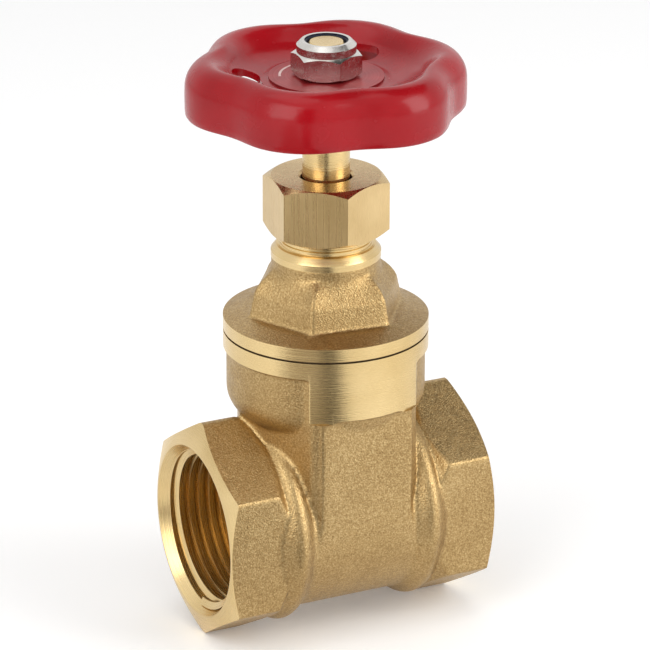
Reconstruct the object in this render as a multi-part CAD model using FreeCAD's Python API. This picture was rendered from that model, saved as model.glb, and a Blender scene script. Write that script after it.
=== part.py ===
import FreeCAD, Part
import math
import os

# Gate valve with female pipe threads at both ends and a non-rising stem.
# Millimetres, +Z up. Each piece is drawn about the crossing of the bore axis (X) and the
# stem axis (Z); save() then moves it so that the centre of the inlet face is the origin.

V = FreeCAD.Vector

# ---------------------------------------------------------------- driving dimensions
# Pipe ends: G 1 parallel pipe thread
pipe_pitch = 25.4 / 11
pipe_major_d = 33.249
pipe_minor_d = 30.9
pipe_flank_deg = 27.5
pipe_basic_height = 1.479
pipe_thread_depth = 14.3

# Body forging
face_to_face = 60.5
hex_side_flats = 37.3
hex_corner_height = 23.6
hex_slope_deg = 30.5
hex_inner_x = 17.7
end_chamfer_start_r = 18.4
end_chamfer_deg = 22.0
countersink_r = 18.0
countersink_depth = 2.1
countersink_clear = 0.1
barrel_r = 19.3
bead_x = 15.0
bead_r = 21.35
bead_section_r = 3.3
web_tip_x = 19.6
web_front_x = 12.6
web_front_y = 16.6
slab_half_width = 10.4
slab_proud = 0.3
neck_r = 20.5
neck_bottom_z = 23.0
neck_round = 3.8
pad_half_width = 8.85
pad_bottom_z = 27.6
flange_r = 21.15
band_height = 3.5
body_top_z = 40.05

# Waterway, wedge pocket and wedge guides
port_r = 12.0
seat_wall = 3.5
seat_relief_r = 14.4
seat_half_width = 6.6
seat_taper_deg = 4.0
wedge_r = 14.6
wedge_shoulder_z = 6.0
wedge_lift = 26.0
wedge_boss_r = 6.8
wedge_boss_top_z = 21.0
wedge_nut_turns = 5
pocket_gap = 0.7
seat_gap = 0.05
guide_width = 2.6
guide_height = 1.3
guide_gap = 0.3

# Bonnet joint
bonnet_thread_r = 17.5
bonnet_thread_length = 6.6
bonnet_spigot_wall = 2.2
thread_gap = 0.1
gasket_thickness = 0.3
gasket_recess = 0.5
gasket_bore_gap = 0.2

# Bonnet forging
flange_edge_height = 2.85
bonnet_hex_flats = 28.2
bonnet_hex_phase = 54.0
bonnet_hex_base_z = 44.4
bonnet_hex_top_z = 49.2
bonnet_neck_r = 11.2
bonnet_neck_z = 53.1
bonnet_collar_z = 56.0
bonnet_collar_height = 1.4
bonnet_top_z = 67.0
bonnet_wall = 2.6
bonnet_roof_rise = 1.6

# Stem
stem_r = 4.85
stem_gap = 0.1
stem_collar_r = 7.6
stem_collar_height = 2.0
stem_thread_r = 4.4
stem_thread_depth = 1.4
stem_thread_pitch = 2.5
stem_thread_flank_deg = 15.0
stem_thread_gap = 0.2
stem_well_gap = 0.35
stem_bottom_z = 14.0
stem_foot_gap = 0.5
stem_square_flats = 8.0
stem_end_thread_r = 4.0
stem_end_chamfer = 0.65

# Collar chamber in the bonnet
chamber_gap = 0.4
washer_thickness = 0.6
ring_thickness = 1.0
ring_groove_depth = 0.5
ring_wall = 1.7
ring_opening_deg = 36.0
running_gap = 0.05
collar_base_z = 49.2

# Packing
gland_floor_z = 56.5
packing_wall = 2.8
packing_count = 3
packing_height = 2.15
packing_seat_height = 0.8
packing_fit = 0.05
follower_flange_r = 8.6
follower_flange_height = 1.6
follower_stand = 0.9

# Gland nut
gland_thread_r = 10.0
gland_nut_flats = 22.75
gland_nut_phase = 23.4
gland_nut_bottom_z = 61.2
gland_nut_height = 12.0
gland_nut_chamfer = 1.1
gland_nut_hole_r = 5.25
gland_nut_hole_chamfer = 0.5

# Handwheel: pressed sheet with a lobed rim and kidney slots
wheel_mean_r = 27.75
wheel_lobe = 1.25
wheel_lobe_sharpness = 0.25
wheel_lobes = 6
wheel_phase = 48.0
wheel_bottom_z = 87.0
wheel_top_z = 98.4
wheel_edge_round_r = 4.0
wheel_edge_round_z = 5.6
wheel_sheet = 1.5
wheel_crest_land = 0.8
wheel_hub_r = 12.6
wheel_dish_mid_r = 19.5
wheel_dish_mid_rise = 1.7
wheel_hub_top_z = 93.85
wheel_slots = 3
wheel_slot_inner_r = 13.3
wheel_slot_outer_r = 19.0
wheel_slot_span_deg = 42.0
square_gap = 0.1

# Identification plate and lock nut
plate_r = 11.7
plate_thickness = 0.5
lock_nut_flats = 12.6
lock_nut_phase = 25.7
lock_nut_hex_height = 5.2
lock_nut_height = 7.4
lock_nut_collar_r = 6.05
lock_nut_insert_r = 4.75
lock_nut_insert_height = 1.7
lock_nut_lip = 0.3
lock_nut_chamfer = 0.9

# ---------------------------------------------------------------- derived places
half_length = face_to_face / 2
pipe_major_r = pipe_major_d / 2
pipe_minor_r = pipe_minor_d / 2
thread_end_x = half_length - pipe_thread_depth
taper = math.tan(math.radians(seat_taper_deg))
pocket_r = wedge_r + pocket_gap
slab_half_depth = barrel_r + slab_proud
spigot_bottom_z = body_top_z - bonnet_thread_length
spigot_bore_r = bonnet_thread_r - bonnet_spigot_wall
flange_bottom_z = body_top_z + gasket_thickness
flange_edge_z = flange_bottom_z + flange_edge_height
chamber_r = stem_collar_r + chamber_gap
collar_top_z = collar_base_z + stem_collar_height
chamber_top_z = collar_top_z + washer_thickness + 2 * running_gap
lower_washer_z = collar_base_z - running_gap - washer_thickness
ring_z = lower_washer_z - running_gap - ring_thickness
stem_bore_r = stem_r + stem_gap
gland_r = stem_bore_r + packing_wall
gland_nut_top_z = gland_nut_bottom_z + gland_nut_height
follower_flange_z = bonnet_top_z + follower_stand
follower_top_z = follower_flange_z + follower_flange_height
wheel_hub_bottom_z = wheel_hub_top_z - wheel_sheet
plate_top_z = wheel_hub_top_z + plate_thickness
lock_nut_top_z = plate_top_z + lock_nut_height
beyond = 5.0


# ---------------------------------------------------------------- helpers
def cylinder_x(radius, x0, x1):
    return Part.makeCylinder(radius, x1 - x0, V(x0, 0, 0), V(1, 0, 0))


def cylinder_z(radius, z0, z1):
    return Part.makeCylinder(radius, z1 - z0, V(0, 0, z0), V(0, 0, 1))


def box(x0, x1, y0, y1, z0, z1):
    return Part.makeBox(x1 - x0, y1 - y0, z1 - z0, V(x0, y0, z0))


def tube_z(outer_r, inner_r, z0, z1):
    return cylinder_z(outer_r, z0, z1).cut(cylinder_z(inner_r, z0 - 1, z1 + 1))


def turned_z(profile):
    """Solid turned about Z from (radius, z) points."""
    points = [V(r, 0, z) for r, z in profile]
    face = Part.Face(Part.makePolygon(points + points[:1]))
    return face.revolve(V(0, 0, 0), V(0, 0, 1), 360)


def turned_x(profile):
    """Solid turned about X from (x, radius) points."""
    points = [V(x, 0, r) for x, r in profile]
    face = Part.Face(Part.makePolygon(points + points[:1]))
    return face.revolve(V(0, 0, 0), V(1, 0, 0), 360)


def prism(points, direction):
    """Solid drawn out from a closed outline of vectors."""
    return Part.Face(Part.makePolygon(points + points[:1])).extrude(direction)


def hexagon(flats, z, phase):
    corner = flats / 2 / math.cos(math.radians(30))
    angles = [math.radians(phase + 60 * k) for k in range(6)]
    return [V(corner * math.cos(a), corner * math.sin(a), z) for a in angles]


def hex_bar(flats, z0, z1, phase):
    return prism(hexagon(flats, z0, phase), V(0, 0, z1 - z0))


def both_ends(make):
    """The same feature at the inlet and, turned half way round, at the outlet."""
    inlet = make()
    outlet = inlet.copy()
    outlet.rotate(V(0, 0, 0), V(0, 0, 1), 180)
    return inlet, outlet


def swept_groove(inner_r, outer_r, inner_width, outer_width, pitch, turns, left_hand):
    """Helical cutter about Z from z = 0, trapezoid between two radii."""
    profile = [
        V(inner_r, 0, -inner_width / 2),
        V(outer_r, 0, -outer_width / 2),
        V(outer_r, 0, outer_width / 2),
        V(inner_r, 0, inner_width / 2),
    ]
    helix = Part.makeLongHelix(pitch, pitch * turns, (inner_r + outer_r) / 2, 0, left_hand)
    wire = Part.makePolygon(profile + profile[:1])
    return Part.Wire(helix.Edges).makePipeShell([wire], True, True)


def save(name, shape):
    shape = shape.copy()
    shape.translate(V(half_length, 0, 0))
    solids = shape.Solids
    if not shape.isValid() or not solids:
        raise ValueError(name + " is not a valid solid")
    if len(solids) == 1:
        shape = solids[0]
    shape.exportStep("parts/" + name + ".step")
    print(name, len(solids), round(shape.Volume, 1))


# ---------------------------------------------------------------- body
def pipe_end():
    """Hexagonal end at the inlet, with its turned chamfer and the slope behind the flats."""
    side = hex_side_flats / 2
    shoulder = hex_corner_height - side * math.tan(math.radians(hex_slope_deg))
    outline = [
        V(-half_length, side, shoulder),
        V(-half_length, 0, hex_corner_height),
        V(-half_length, -side, shoulder),
        V(-half_length, -side, -shoulder),
        V(-half_length, 0, -hex_corner_height),
        V(-half_length, side, -shoulder),
    ]
    bar = prism(outline, V(half_length - hex_inner_x + beyond, 0, 0))
    chamfer_reach = (hex_corner_height - end_chamfer_start_r) * math.tan(math.radians(end_chamfer_deg))
    slope_start_r = bead_r - 1.0
    slope_reach = hex_corner_height - slope_start_r
    turned = turned_x([
        (-half_length, 0),
        (-half_length, end_chamfer_start_r),
        (-half_length + chamfer_reach, hex_corner_height),
        (-hex_inner_x - slope_reach, hex_corner_height),
        (-hex_inner_x, slope_start_r),
        (-hex_inner_x, 0),
    ])
    return bar.common(turned)


def bead():
    """Rounded ring between the hexagon and the barrel."""
    ring = Part.makeTorus(bead_r - bead_section_r, bead_section_r, V(-bead_x, 0, 0), V(1, 0, 0))
    core = cylinder_x(bead_r - bead_section_r, -bead_x - bead_section_r, -bead_x + bead_section_r)
    return ring.fuse(core)


def wedge_housing():
    """Upright casing round the wedge: flat front and back, and webs that narrow towards them."""
    foot_z = 0.0
    head_z = body_top_z - band_height
    web_end_y = barrel_r - 0.3
    web_end_x = slab_half_width - 1.0
    quarter = [(web_tip_x, 0), (web_front_x, web_front_y), (web_end_x, web_end_y)]
    front = quarter + [(-x, y) for x, y in reversed(quarter)]
    outline = front + [(x, -y) for x, y in reversed(front[1:-1])]
    web = prism([V(x, y, foot_z) for x, y in outline], V(0, 0, head_z - foot_z))
    slab = box(
        -slab_half_width, slab_half_width, -slab_half_depth, slab_half_depth, foot_z, head_z
    )
    return web.fuse(slab)


def neck():
    """Round neck that carries the bonnet, with its turned band and the two turned pads."""
    shoulder = neck_round * 0.6
    stem_of_neck = turned_z([
        (0, neck_bottom_z),
        (neck_r - shoulder, neck_bottom_z),
        (neck_r - shoulder * 0.3, neck_bottom_z + neck_round * 0.4),
        (neck_r, neck_bottom_z + neck_round),
        (neck_r, body_top_z - band_height),
        (flange_r, body_top_z - band_height),
        (flange_r, body_top_z),
        (0, body_top_z),
    ])
    pads = cylinder_z(flange_r, pad_bottom_z, body_top_z).common(
        box(-pad_half_width, pad_half_width, -flange_r, flange_r, pad_bottom_z, body_top_z)
    )
    return stem_of_neck.fuse(pads)


def pipe_thread():
    """Waterway cut at the inlet: countersink, threaded bore and its helical groove."""
    depth = pipe_major_r - pipe_minor_r
    flank = depth * math.tan(math.radians(pipe_flank_deg))
    basic_flank = pipe_basic_height * math.tan(math.radians(pipe_flank_deg))
    root_width = (pipe_pitch - 2 * basic_flank) / 2
    overlap = 0.15
    mouth_width = root_width + 2 * flank * (1 + overlap / depth)
    bore = turned_x([
        (-half_length - 1, 0),
        (-half_length - 1, countersink_r),
        (-half_length, countersink_r),
        (-half_length + countersink_depth, pipe_major_r + countersink_clear),
        (-half_length + countersink_depth, pipe_minor_r),
        (-thread_end_x, pipe_minor_r),
        (-thread_end_x, 0),
    ])
    thread_start = countersink_depth - pipe_pitch
    turns = (pipe_thread_depth - thread_start - pipe_pitch) / pipe_pitch
    groove = swept_groove(
        pipe_minor_r - overlap, pipe_major_r, mouth_width, root_width, pipe_pitch, turns, False
    )
    groove.rotate(V(0, 0, 0), V(0, 1, 0), 90)
    groove.translate(V(-half_length + thread_start, 0, 0))
    return bore, groove


def pocket(width, radius, top_z, shoulder_z):
    """Tapered space or solid across the bore: round below, straight-sided above."""
    low_z = -radius - 1
    outline = [
        V(-width - low_z * taper, -radius, low_z),
        V(width + low_z * taper, -radius, low_z),
        V(width + top_z * taper, -radius, top_z),
        V(-width - top_z * taper, -radius, top_z),
    ]
    trapezoid = prism(outline, V(0, 2 * radius, 0))
    reach = width + top_z
    round_part = cylinder_x(radius, -reach, reach)
    straight_part = box(-reach, reach, -radius, radius, 0, shoulder_z)
    return trapezoid.common(round_part.fuse(straight_part))


def guide_rails(width, height, top_z):
    """Upright rails on the pocket's side walls that keep the wedge square."""
    inner_y = pocket_r - height
    rails = []
    for side in (-1, 1):
        near, far = sorted((side * inner_y, side * (pocket_r + 1)))
        rails.append(box(-width / 2, width / 2, near, far, -wedge_shoulder_z, top_z))
    return rails


def valve_body():
    inlet_hex, outlet_hex = both_ends(pipe_end)
    inlet_bead, outlet_bead = both_ends(bead)
    barrel = cylinder_x(barrel_r, -hex_inner_x - 1, hex_inner_x + 1)
    forging = barrel.multiFuse([
        inlet_hex, outlet_hex, inlet_bead, outlet_bead, wedge_housing(), neck()
    ])
    chamber = pocket(seat_half_width, pocket_r, spigot_bottom_z, spigot_bottom_z)
    for rail in guide_rails(guide_width, guide_height, spigot_bottom_z - 1):
        chamber = chamber.cut(rail)
    bonnet_bore = cylinder_z(bonnet_thread_r, spigot_bottom_z - 1, body_top_z + 1)
    port = cylinder_x(port_r, -thread_end_x - 1, thread_end_x + 1)
    relief = cylinder_x(seat_relief_r, -thread_end_x - 1, -seat_half_width - seat_wall)
    outlet_relief = cylinder_x(seat_relief_r, seat_half_width + seat_wall, thread_end_x + 1)
    body = forging.cut(chamber).cut(bonnet_bore)
    body = body.cut(port).cut(relief).cut(outlet_relief)
    bore, groove = pipe_thread()
    outlet_bore = bore.copy()
    outlet_bore.rotate(V(0, 0, 0), V(0, 0, 1), 180)
    outlet_groove = groove.copy()
    outlet_groove.rotate(V(0, 0, 0), V(0, 0, 1), 180)
    body = body.cut(bore).cut(outlet_bore).removeSplitter()
    return body.cut([groove, outlet_groove])


# ---------------------------------------------------------------- stem and wedge thread
def stem_groove(start_z, top_z, inner_r, outer_r, widening):
    """Left-hand trapezoid groove on the stem axis, from start_z up to top_z."""
    mean_r = stem_thread_r - stem_thread_depth / 2
    slope = math.tan(math.radians(stem_thread_flank_deg)) * widening
    base_width = stem_thread_pitch / 2 + stem_thread_gap
    inner_width = base_width + 2 * (inner_r - mean_r) * slope
    outer_width = base_width + 2 * (outer_r - mean_r) * slope
    turns = (top_z - start_z) / stem_thread_pitch
    groove = swept_groove(
        inner_r, outer_r, inner_width, outer_width, stem_thread_pitch, turns, True
    )
    groove.translate(V(0, 0, start_z))
    return groove


def stem():
    thread_top_z = collar_base_z - stem_thread_pitch / 2
    end_top_z = lock_nut_top_z - 0.3
    turned = turned_z([
        (0, stem_bottom_z),
        (stem_thread_r - 1, stem_bottom_z),
        (stem_thread_r, stem_bottom_z + 1),
        (stem_thread_r, collar_base_z),
        (stem_collar_r, collar_base_z),
        (stem_collar_r, collar_top_z),
        (stem_r, collar_top_z),
        (stem_r, wheel_hub_top_z - 0.1),
        (stem_end_thread_r, wheel_hub_top_z - 0.1),
        (stem_end_thread_r, end_top_z - stem_end_chamfer),
        (stem_end_thread_r - stem_end_chamfer, end_top_z),
        (0, end_top_z),
    ])
    half = stem_square_flats / 2
    shaft = turned
    for quarter in range(4):
        flat = box(half, stem_r + 1, -stem_r - 1, stem_r + 1, wheel_hub_bottom_z, wheel_hub_top_z)
        flat.rotate(V(0, 0, 0), V(0, 0, 1), 90 * quarter)
        shaft = shaft.cut(flat)
    root_r = stem_thread_r - stem_thread_depth
    thread_start_z = stem_bottom_z - stem_thread_pitch
    groove = stem_groove(thread_start_z, thread_top_z, root_r, stem_thread_r + 0.2, 1)
    return shaft.cut(groove)


def gate_wedge():
    plate = pocket(seat_half_width - seat_gap, wedge_r, wedge_r, wedge_shoulder_z)
    boss = cylinder_z(wedge_boss_r, 0, wedge_boss_top_z)
    blank_sides = pocket(seat_half_width - seat_gap, wedge_r, wedge_boss_top_z, wedge_boss_top_z)
    wedge = plate.fuse(boss.common(blank_sides))
    groove_width = guide_width + 2 * guide_gap
    groove_depth = guide_height + guide_gap - (pocket_r - wedge_r)
    for side in (-1, 1):
        near, far = sorted((side * (wedge_r - groove_depth), side * (wedge_r + 1)))
        wedge = wedge.cut(box(
            -groove_width / 2, groove_width / 2, near, far, -wedge_r, wedge_boss_top_z
        ))
    bore_r = stem_thread_r + stem_thread_gap
    nut_r = stem_thread_r - stem_thread_depth + stem_thread_gap
    nut_height = wedge_nut_turns * stem_thread_pitch
    nut_bottom_z = wedge_boss_top_z - nut_height
    well_bottom_z = stem_bottom_z - wedge_lift - stem_foot_gap
    wedge = wedge.cut(cylinder_z(nut_r, nut_bottom_z - 1, wedge_boss_top_z + 1))
    well_r = stem_thread_r + stem_well_gap
    wedge = wedge.cut(cylinder_z(well_r, well_bottom_z, nut_bottom_z))
    half_pitch = stem_thread_pitch / 2
    female = stem_groove(
        stem_bottom_z - nut_height + half_pitch, wedge_boss_top_z + stem_thread_pitch,
        nut_r - 0.2, bore_r, -1,
    )
    zone = cylinder_z(wedge_boss_r + 1, nut_bottom_z - 0.5, wedge_boss_top_z + 1)
    return wedge.cut(female.common(zone))


# ---------------------------------------------------------------- bonnet and what it holds
def bonnet():
    hex_base = Part.makePolygon(hexagon(bonnet_hex_flats, flange_edge_z, bonnet_hex_phase)
                                + hexagon(bonnet_hex_flats, flange_edge_z, bonnet_hex_phase)[:1])
    top_flats = bonnet_hex_flats - 1.4
    hex_top = Part.makePolygon(hexagon(top_flats, bonnet_neck_z, bonnet_hex_phase)
                               + hexagon(top_flats, bonnet_neck_z, bonnet_hex_phase)[:1])
    hexagonal = Part.makeLoft([hex_base, hex_top], True, True)
    corner_r = bonnet_hex_flats / 2 / math.cos(math.radians(30))
    dome = turned_z([
        (0, flange_edge_z),
        (corner_r + 1, flange_edge_z),
        (corner_r + 1, bonnet_hex_top_z - 0.5),
        (corner_r - 1.2, bonnet_hex_top_z + 0.5),
        (bonnet_neck_r + 1.4, bonnet_neck_z - 1.3),
        (bonnet_neck_r, bonnet_neck_z),
        (0, bonnet_neck_z),
    ])
    relief_top_z = bonnet_collar_z + 2 * bonnet_collar_height + 1
    turned = turned_z([
        (0, spigot_bottom_z),
        (bonnet_thread_r - thread_gap - 0.5, spigot_bottom_z),
        (bonnet_thread_r - thread_gap, spigot_bottom_z + 0.5),
        (bonnet_thread_r - thread_gap, flange_bottom_z),
        (flange_r, flange_bottom_z),
        (flange_r, flange_edge_z),
        (corner_r, bonnet_hex_base_z),
        (bonnet_neck_r, bonnet_hex_base_z),
        (bonnet_neck_r, bonnet_collar_z),
        (bonnet_neck_r + 0.1, bonnet_collar_z),
        (bonnet_neck_r + 0.1, bonnet_collar_z + bonnet_collar_height),
        (gland_thread_r, bonnet_collar_z + 2 * bonnet_collar_height),
        (gland_thread_r - 0.6, bonnet_collar_z + 2 * bonnet_collar_height),
        (gland_thread_r - 0.6, relief_top_z - 0.5),
        (gland_thread_r, relief_top_z),
        (gland_thread_r, bonnet_top_z - 0.6),
        (gland_thread_r - 0.6, bonnet_top_z),
        (0, bonnet_top_z),
    ])
    cavity_roof_z = flange_bottom_z + bonnet_roof_rise
    inside = turned_z([
        (0, spigot_bottom_z - 1),
        (spigot_bore_r, spigot_bottom_z - 1),
        (spigot_bore_r, cavity_roof_z),
        (chamber_r, cavity_roof_z + spigot_bore_r - chamber_r - bonnet_wall),
        (chamber_r, ring_z),
        (chamber_r + ring_groove_depth, ring_z),
        (chamber_r + ring_groove_depth, ring_z + ring_thickness + running_gap),
        (chamber_r, ring_z + ring_thickness + running_gap),
        (chamber_r, chamber_top_z),
        (stem_bore_r, chamber_top_z),
        (stem_bore_r, gland_floor_z),
        (gland_r, gland_floor_z),
        (gland_r, bonnet_top_z + 1),
        (0, bonnet_top_z + 1),
    ])
    return turned.fuse(hexagonal.common(dome)).cut(inside).removeSplitter()


def bonnet_gasket():
    inner_r = bonnet_thread_r + gasket_bore_gap
    return tube_z(flange_r - gasket_recess, inner_r, body_top_z, flange_bottom_z)


def stem_retaining_ring():
    """Open spring ring that sits in the bonnet's groove under the stem collar."""
    outer_r = chamber_r + ring_groove_depth - running_gap
    ring = tube_z(outer_r, chamber_r - ring_wall, ring_z + running_gap / 2, ring_z + ring_thickness)
    half_gap = math.tan(math.radians(ring_opening_deg / 2)) * outer_r
    opening = prism(
        [V(0, 0, ring_z - 1), V(outer_r + 1, -half_gap, ring_z - 1), V(outer_r + 1, half_gap, ring_z - 1)],
        V(0, 0, ring_thickness + 2),
    )
    return ring.cut(opening)


def thrust_washer(low_z):
    return tube_z(stem_collar_r, stem_r + stem_gap, low_z, low_z + washer_thickness)


def packing_piece(low_z, height):
    return tube_z(gland_r - packing_fit, stem_r + packing_fit, low_z, low_z + height)


def gland_follower():
    """Flanged bush that the gland nut presses on the packing."""
    packing_top_z = gland_floor_z + packing_seat_height + packing_count * packing_height
    sleeve = tube_z(gland_r - packing_fit, stem_bore_r, packing_top_z, follower_top_z)
    flange = tube_z(follower_flange_r, stem_bore_r, follower_flange_z, follower_top_z)
    return sleeve.fuse(flange).removeSplitter()


def chamfered_hex(flats, z0, z1, phase, chamfer, both):
    """Hexagon bar with its corners turned off at the top, or at both ends."""
    corner = flats / 2 / math.cos(math.radians(30))
    face_r = corner - chamfer / math.tan(math.radians(30))
    bottom = [(0, z0), (face_r, z0), (corner, z0 + chamfer)] if both else [(0, z0), (corner, z0)]
    return hex_bar(flats, z0, z1, phase).common(turned_z(
        bottom + [(corner, z1 - chamfer), (face_r, z1), (0, z1)]
    ))


def gland_nut():
    blank = chamfered_hex(
        gland_nut_flats, gland_nut_bottom_z, gland_nut_top_z, gland_nut_phase,
        gland_nut_chamfer, True,
    )
    thread_bore_r = gland_thread_r + thread_gap
    inside = turned_z([
        (0, gland_nut_bottom_z - 1),
        (thread_bore_r, gland_nut_bottom_z - 1),
        (thread_bore_r, follower_top_z + running_gap),
        (gland_nut_hole_r, follower_top_z + running_gap),
        (gland_nut_hole_r, gland_nut_top_z - gland_nut_hole_chamfer),
        (gland_nut_hole_r + gland_nut_hole_chamfer, gland_nut_top_z),
        (gland_nut_hole_r + gland_nut_hole_chamfer, gland_nut_top_z + 1),
        (0, gland_nut_top_z + 1),
    ])
    return blank.cut(inside)


# ---------------------------------------------------------------- handwheel, plate and nut
def rim_outline(inset, z):
    """Closed lobed curve: six finger lobes round the rim."""
    count = 12 * wheel_lobes
    points = []
    for step in range(count):
        angle = 2 * math.pi * step / count
        wave = wheel_lobes * (angle - math.radians(wheel_phase))
        radius = wheel_mean_r - inset + wheel_lobe * math.cos(wave)
        radius += wheel_lobe_sharpness * math.cos(2 * wave)
        points.append(V(radius * math.cos(angle), radius * math.sin(angle), z))
    curve = Part.BSplineCurve()
    curve.interpolate(points, PeriodicFlag=True)
    return Part.Wire([curve.toShape()])


def rim_shell(inset, bottom_z, top_z):
    """Solid with the lobed outline, upright walls and a rounded top edge."""
    round_r = wheel_edge_round_r - inset
    round_z = wheel_edge_round_z - inset
    wall = Part.Face(rim_outline(inset, bottom_z)).extrude(V(0, 0, top_z - round_z - bottom_z))
    sections = []
    steps = 5
    for step in range(steps + 1):
        angle = math.radians(90 * step / steps)
        sections.append(rim_outline(
            inset + round_r * (1 - math.cos(angle)), top_z - round_z + round_z * math.sin(angle)
        ))
    crown = Part.makeLoft(sections, True, False)
    return wall.fuse(crown)


def kidney_slot(angle_deg):
    """Slot with rounded ends, along an arc about the stem axis."""
    middle_r = (wheel_slot_inner_r + wheel_slot_outer_r) / 2
    end_r = (wheel_slot_outer_r - wheel_slot_inner_r) / 2
    low_z = wheel_bottom_z
    high_z = wheel_top_z + 1
    half_span = wheel_slot_span_deg / 2 - math.degrees(end_r / middle_r) / 2
    ring = tube_z(wheel_slot_outer_r, wheel_slot_inner_r, low_z, high_z)
    reach = 2 * wheel_slot_outer_r
    spread = reach * math.tan(math.radians(half_span))
    sector = prism([V(0, 0, low_z), V(reach, -spread, low_z), V(reach, spread, low_z)],
                   V(0, 0, high_z - low_z))
    slot = ring.common(sector)
    for side in (-1, 1):
        a = math.radians(side * half_span)
        place = V(middle_r * math.cos(a), middle_r * math.sin(a), low_z)
        slot = slot.fuse(Part.makeCylinder(end_r, high_z - low_z, place, V(0, 0, 1)))
    slot.rotate(V(0, 0, 0), V(0, 0, 1), angle_deg)
    return slot


def dish(top_z, hub_z, rim_r, high_z):
    """Space over the web, from the flat hub up to the rim's crest."""
    return turned_z([
        (0, hub_z),
        (wheel_hub_r, hub_z),
        (wheel_dish_mid_r, hub_z + wheel_dish_mid_rise),
        (rim_r, top_z),
        (rim_r, high_z),
        (0, high_z),
    ])


def handwheel():
    outside = rim_shell(0, wheel_bottom_z, wheel_top_z)
    inside = rim_shell(wheel_sheet, wheel_bottom_z - 1, wheel_top_z - wheel_sheet)
    valley_r = wheel_mean_r - wheel_lobe + wheel_lobe_sharpness
    crest_r = valley_r - wheel_edge_round_r - wheel_crest_land
    top_dish = dish(wheel_top_z, wheel_hub_top_z, crest_r, wheel_top_z + 1)
    web_block = dish(
        wheel_top_z - wheel_sheet, wheel_hub_bottom_z, crest_r + 0.6, wheel_top_z + 1
    )
    wheel = outside.cut(inside.cut(web_block)).cut(top_dish)
    for k in range(wheel_slots):
        wheel = wheel.cut(kidney_slot(wheel_phase + 360 / wheel_slots * k))
    half = stem_square_flats / 2 + square_gap
    square = box(-half, half, -half, half, wheel_hub_bottom_z - 1, wheel_hub_top_z + 1)
    hole = square.common(cylinder_z(
        stem_r + square_gap, wheel_hub_bottom_z - 1, wheel_hub_top_z + 1
    ))
    return wheel.cut(hole)


def id_plate():
    return tube_z(plate_r, stem_end_thread_r + thread_gap, wheel_hub_top_z, plate_top_z)


def lock_nut():
    hex_top_z = plate_top_z + lock_nut_hex_height
    hexagonal = chamfered_hex(
        lock_nut_flats, plate_top_z, hex_top_z, lock_nut_phase, lock_nut_chamfer, True
    )
    collar = turned_z([
        (0, hex_top_z - 1),
        (lock_nut_collar_r, hex_top_z - 1),
        (lock_nut_collar_r, lock_nut_top_z - 0.9),
        (lock_nut_collar_r - 0.9, lock_nut_top_z),
        (0, lock_nut_top_z),
    ])
    bore_r = stem_end_thread_r + thread_gap
    lip_z = lock_nut_top_z - lock_nut_lip
    inside = turned_z([
        (0, plate_top_z - 1),
        (bore_r, plate_top_z - 1),
        (bore_r, lip_z - lock_nut_insert_height),
        (lock_nut_insert_r, lip_z - lock_nut_insert_height),
        (lock_nut_insert_r, lip_z),
        (lock_nut_insert_r - lock_nut_lip, lock_nut_top_z),
        (lock_nut_insert_r - lock_nut_lip, lock_nut_top_z + 1),
        (0, lock_nut_top_z + 1),
    ])
    return hexagonal.fuse(collar).cut(inside).removeSplitter()


def lock_nut_insert():
    lip_z = lock_nut_top_z - lock_nut_lip
    return tube_z(
        lock_nut_insert_r, stem_end_thread_r + thread_gap, lip_z - lock_nut_insert_height, lip_z
    )


# ---------------------------------------------------------------- write the pieces
os.makedirs("parts", exist_ok=True)

save("valve_body", valve_body())
save("gate_wedge", gate_wedge())
save("stem", stem())
save("bonnet", bonnet())
save("bonnet_gasket", bonnet_gasket())
save("stem_retaining_ring", stem_retaining_ring())
save("lower_thrust_washer", thrust_washer(lower_washer_z))
save("upper_thrust_washer", thrust_washer(collar_top_z + running_gap))
save("packing_seat_washer", packing_piece(gland_floor_z, packing_seat_height))
for number in range(packing_count):
    ring_low_z = gland_floor_z + packing_seat_height + number * packing_height
    save("packing_ring_" + str(number + 1), packing_piece(ring_low_z, packing_height))
save("gland_follower", gland_follower())
save("gland_nut", gland_nut())
save("handwheel", handwheel())
save("id_plate", id_plate())
save("lock_nut", lock_nut())
save("lock_nut_insert", lock_nut_insert())
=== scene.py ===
import bmesh
import bpy
import math
from mathutils import Matrix, Vector


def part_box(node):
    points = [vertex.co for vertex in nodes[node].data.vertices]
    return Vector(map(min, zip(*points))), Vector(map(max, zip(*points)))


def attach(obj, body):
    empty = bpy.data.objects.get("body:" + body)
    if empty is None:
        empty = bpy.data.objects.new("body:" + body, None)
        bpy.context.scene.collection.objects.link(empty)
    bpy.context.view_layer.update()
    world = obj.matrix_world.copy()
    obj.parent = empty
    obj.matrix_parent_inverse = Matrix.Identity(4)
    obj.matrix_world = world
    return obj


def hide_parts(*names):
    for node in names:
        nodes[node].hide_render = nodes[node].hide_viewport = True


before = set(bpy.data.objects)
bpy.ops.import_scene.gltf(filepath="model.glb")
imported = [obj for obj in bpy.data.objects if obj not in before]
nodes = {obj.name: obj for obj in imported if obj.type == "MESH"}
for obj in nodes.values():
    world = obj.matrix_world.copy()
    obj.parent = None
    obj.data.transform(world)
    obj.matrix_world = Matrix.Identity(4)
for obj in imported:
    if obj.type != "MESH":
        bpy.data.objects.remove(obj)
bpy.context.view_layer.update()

MM = 0.001
body_low, body_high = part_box("valve_body")
AXIS_X = (body_low.x + body_high.x) / 2
FLOOR_Z = body_low.z


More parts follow.
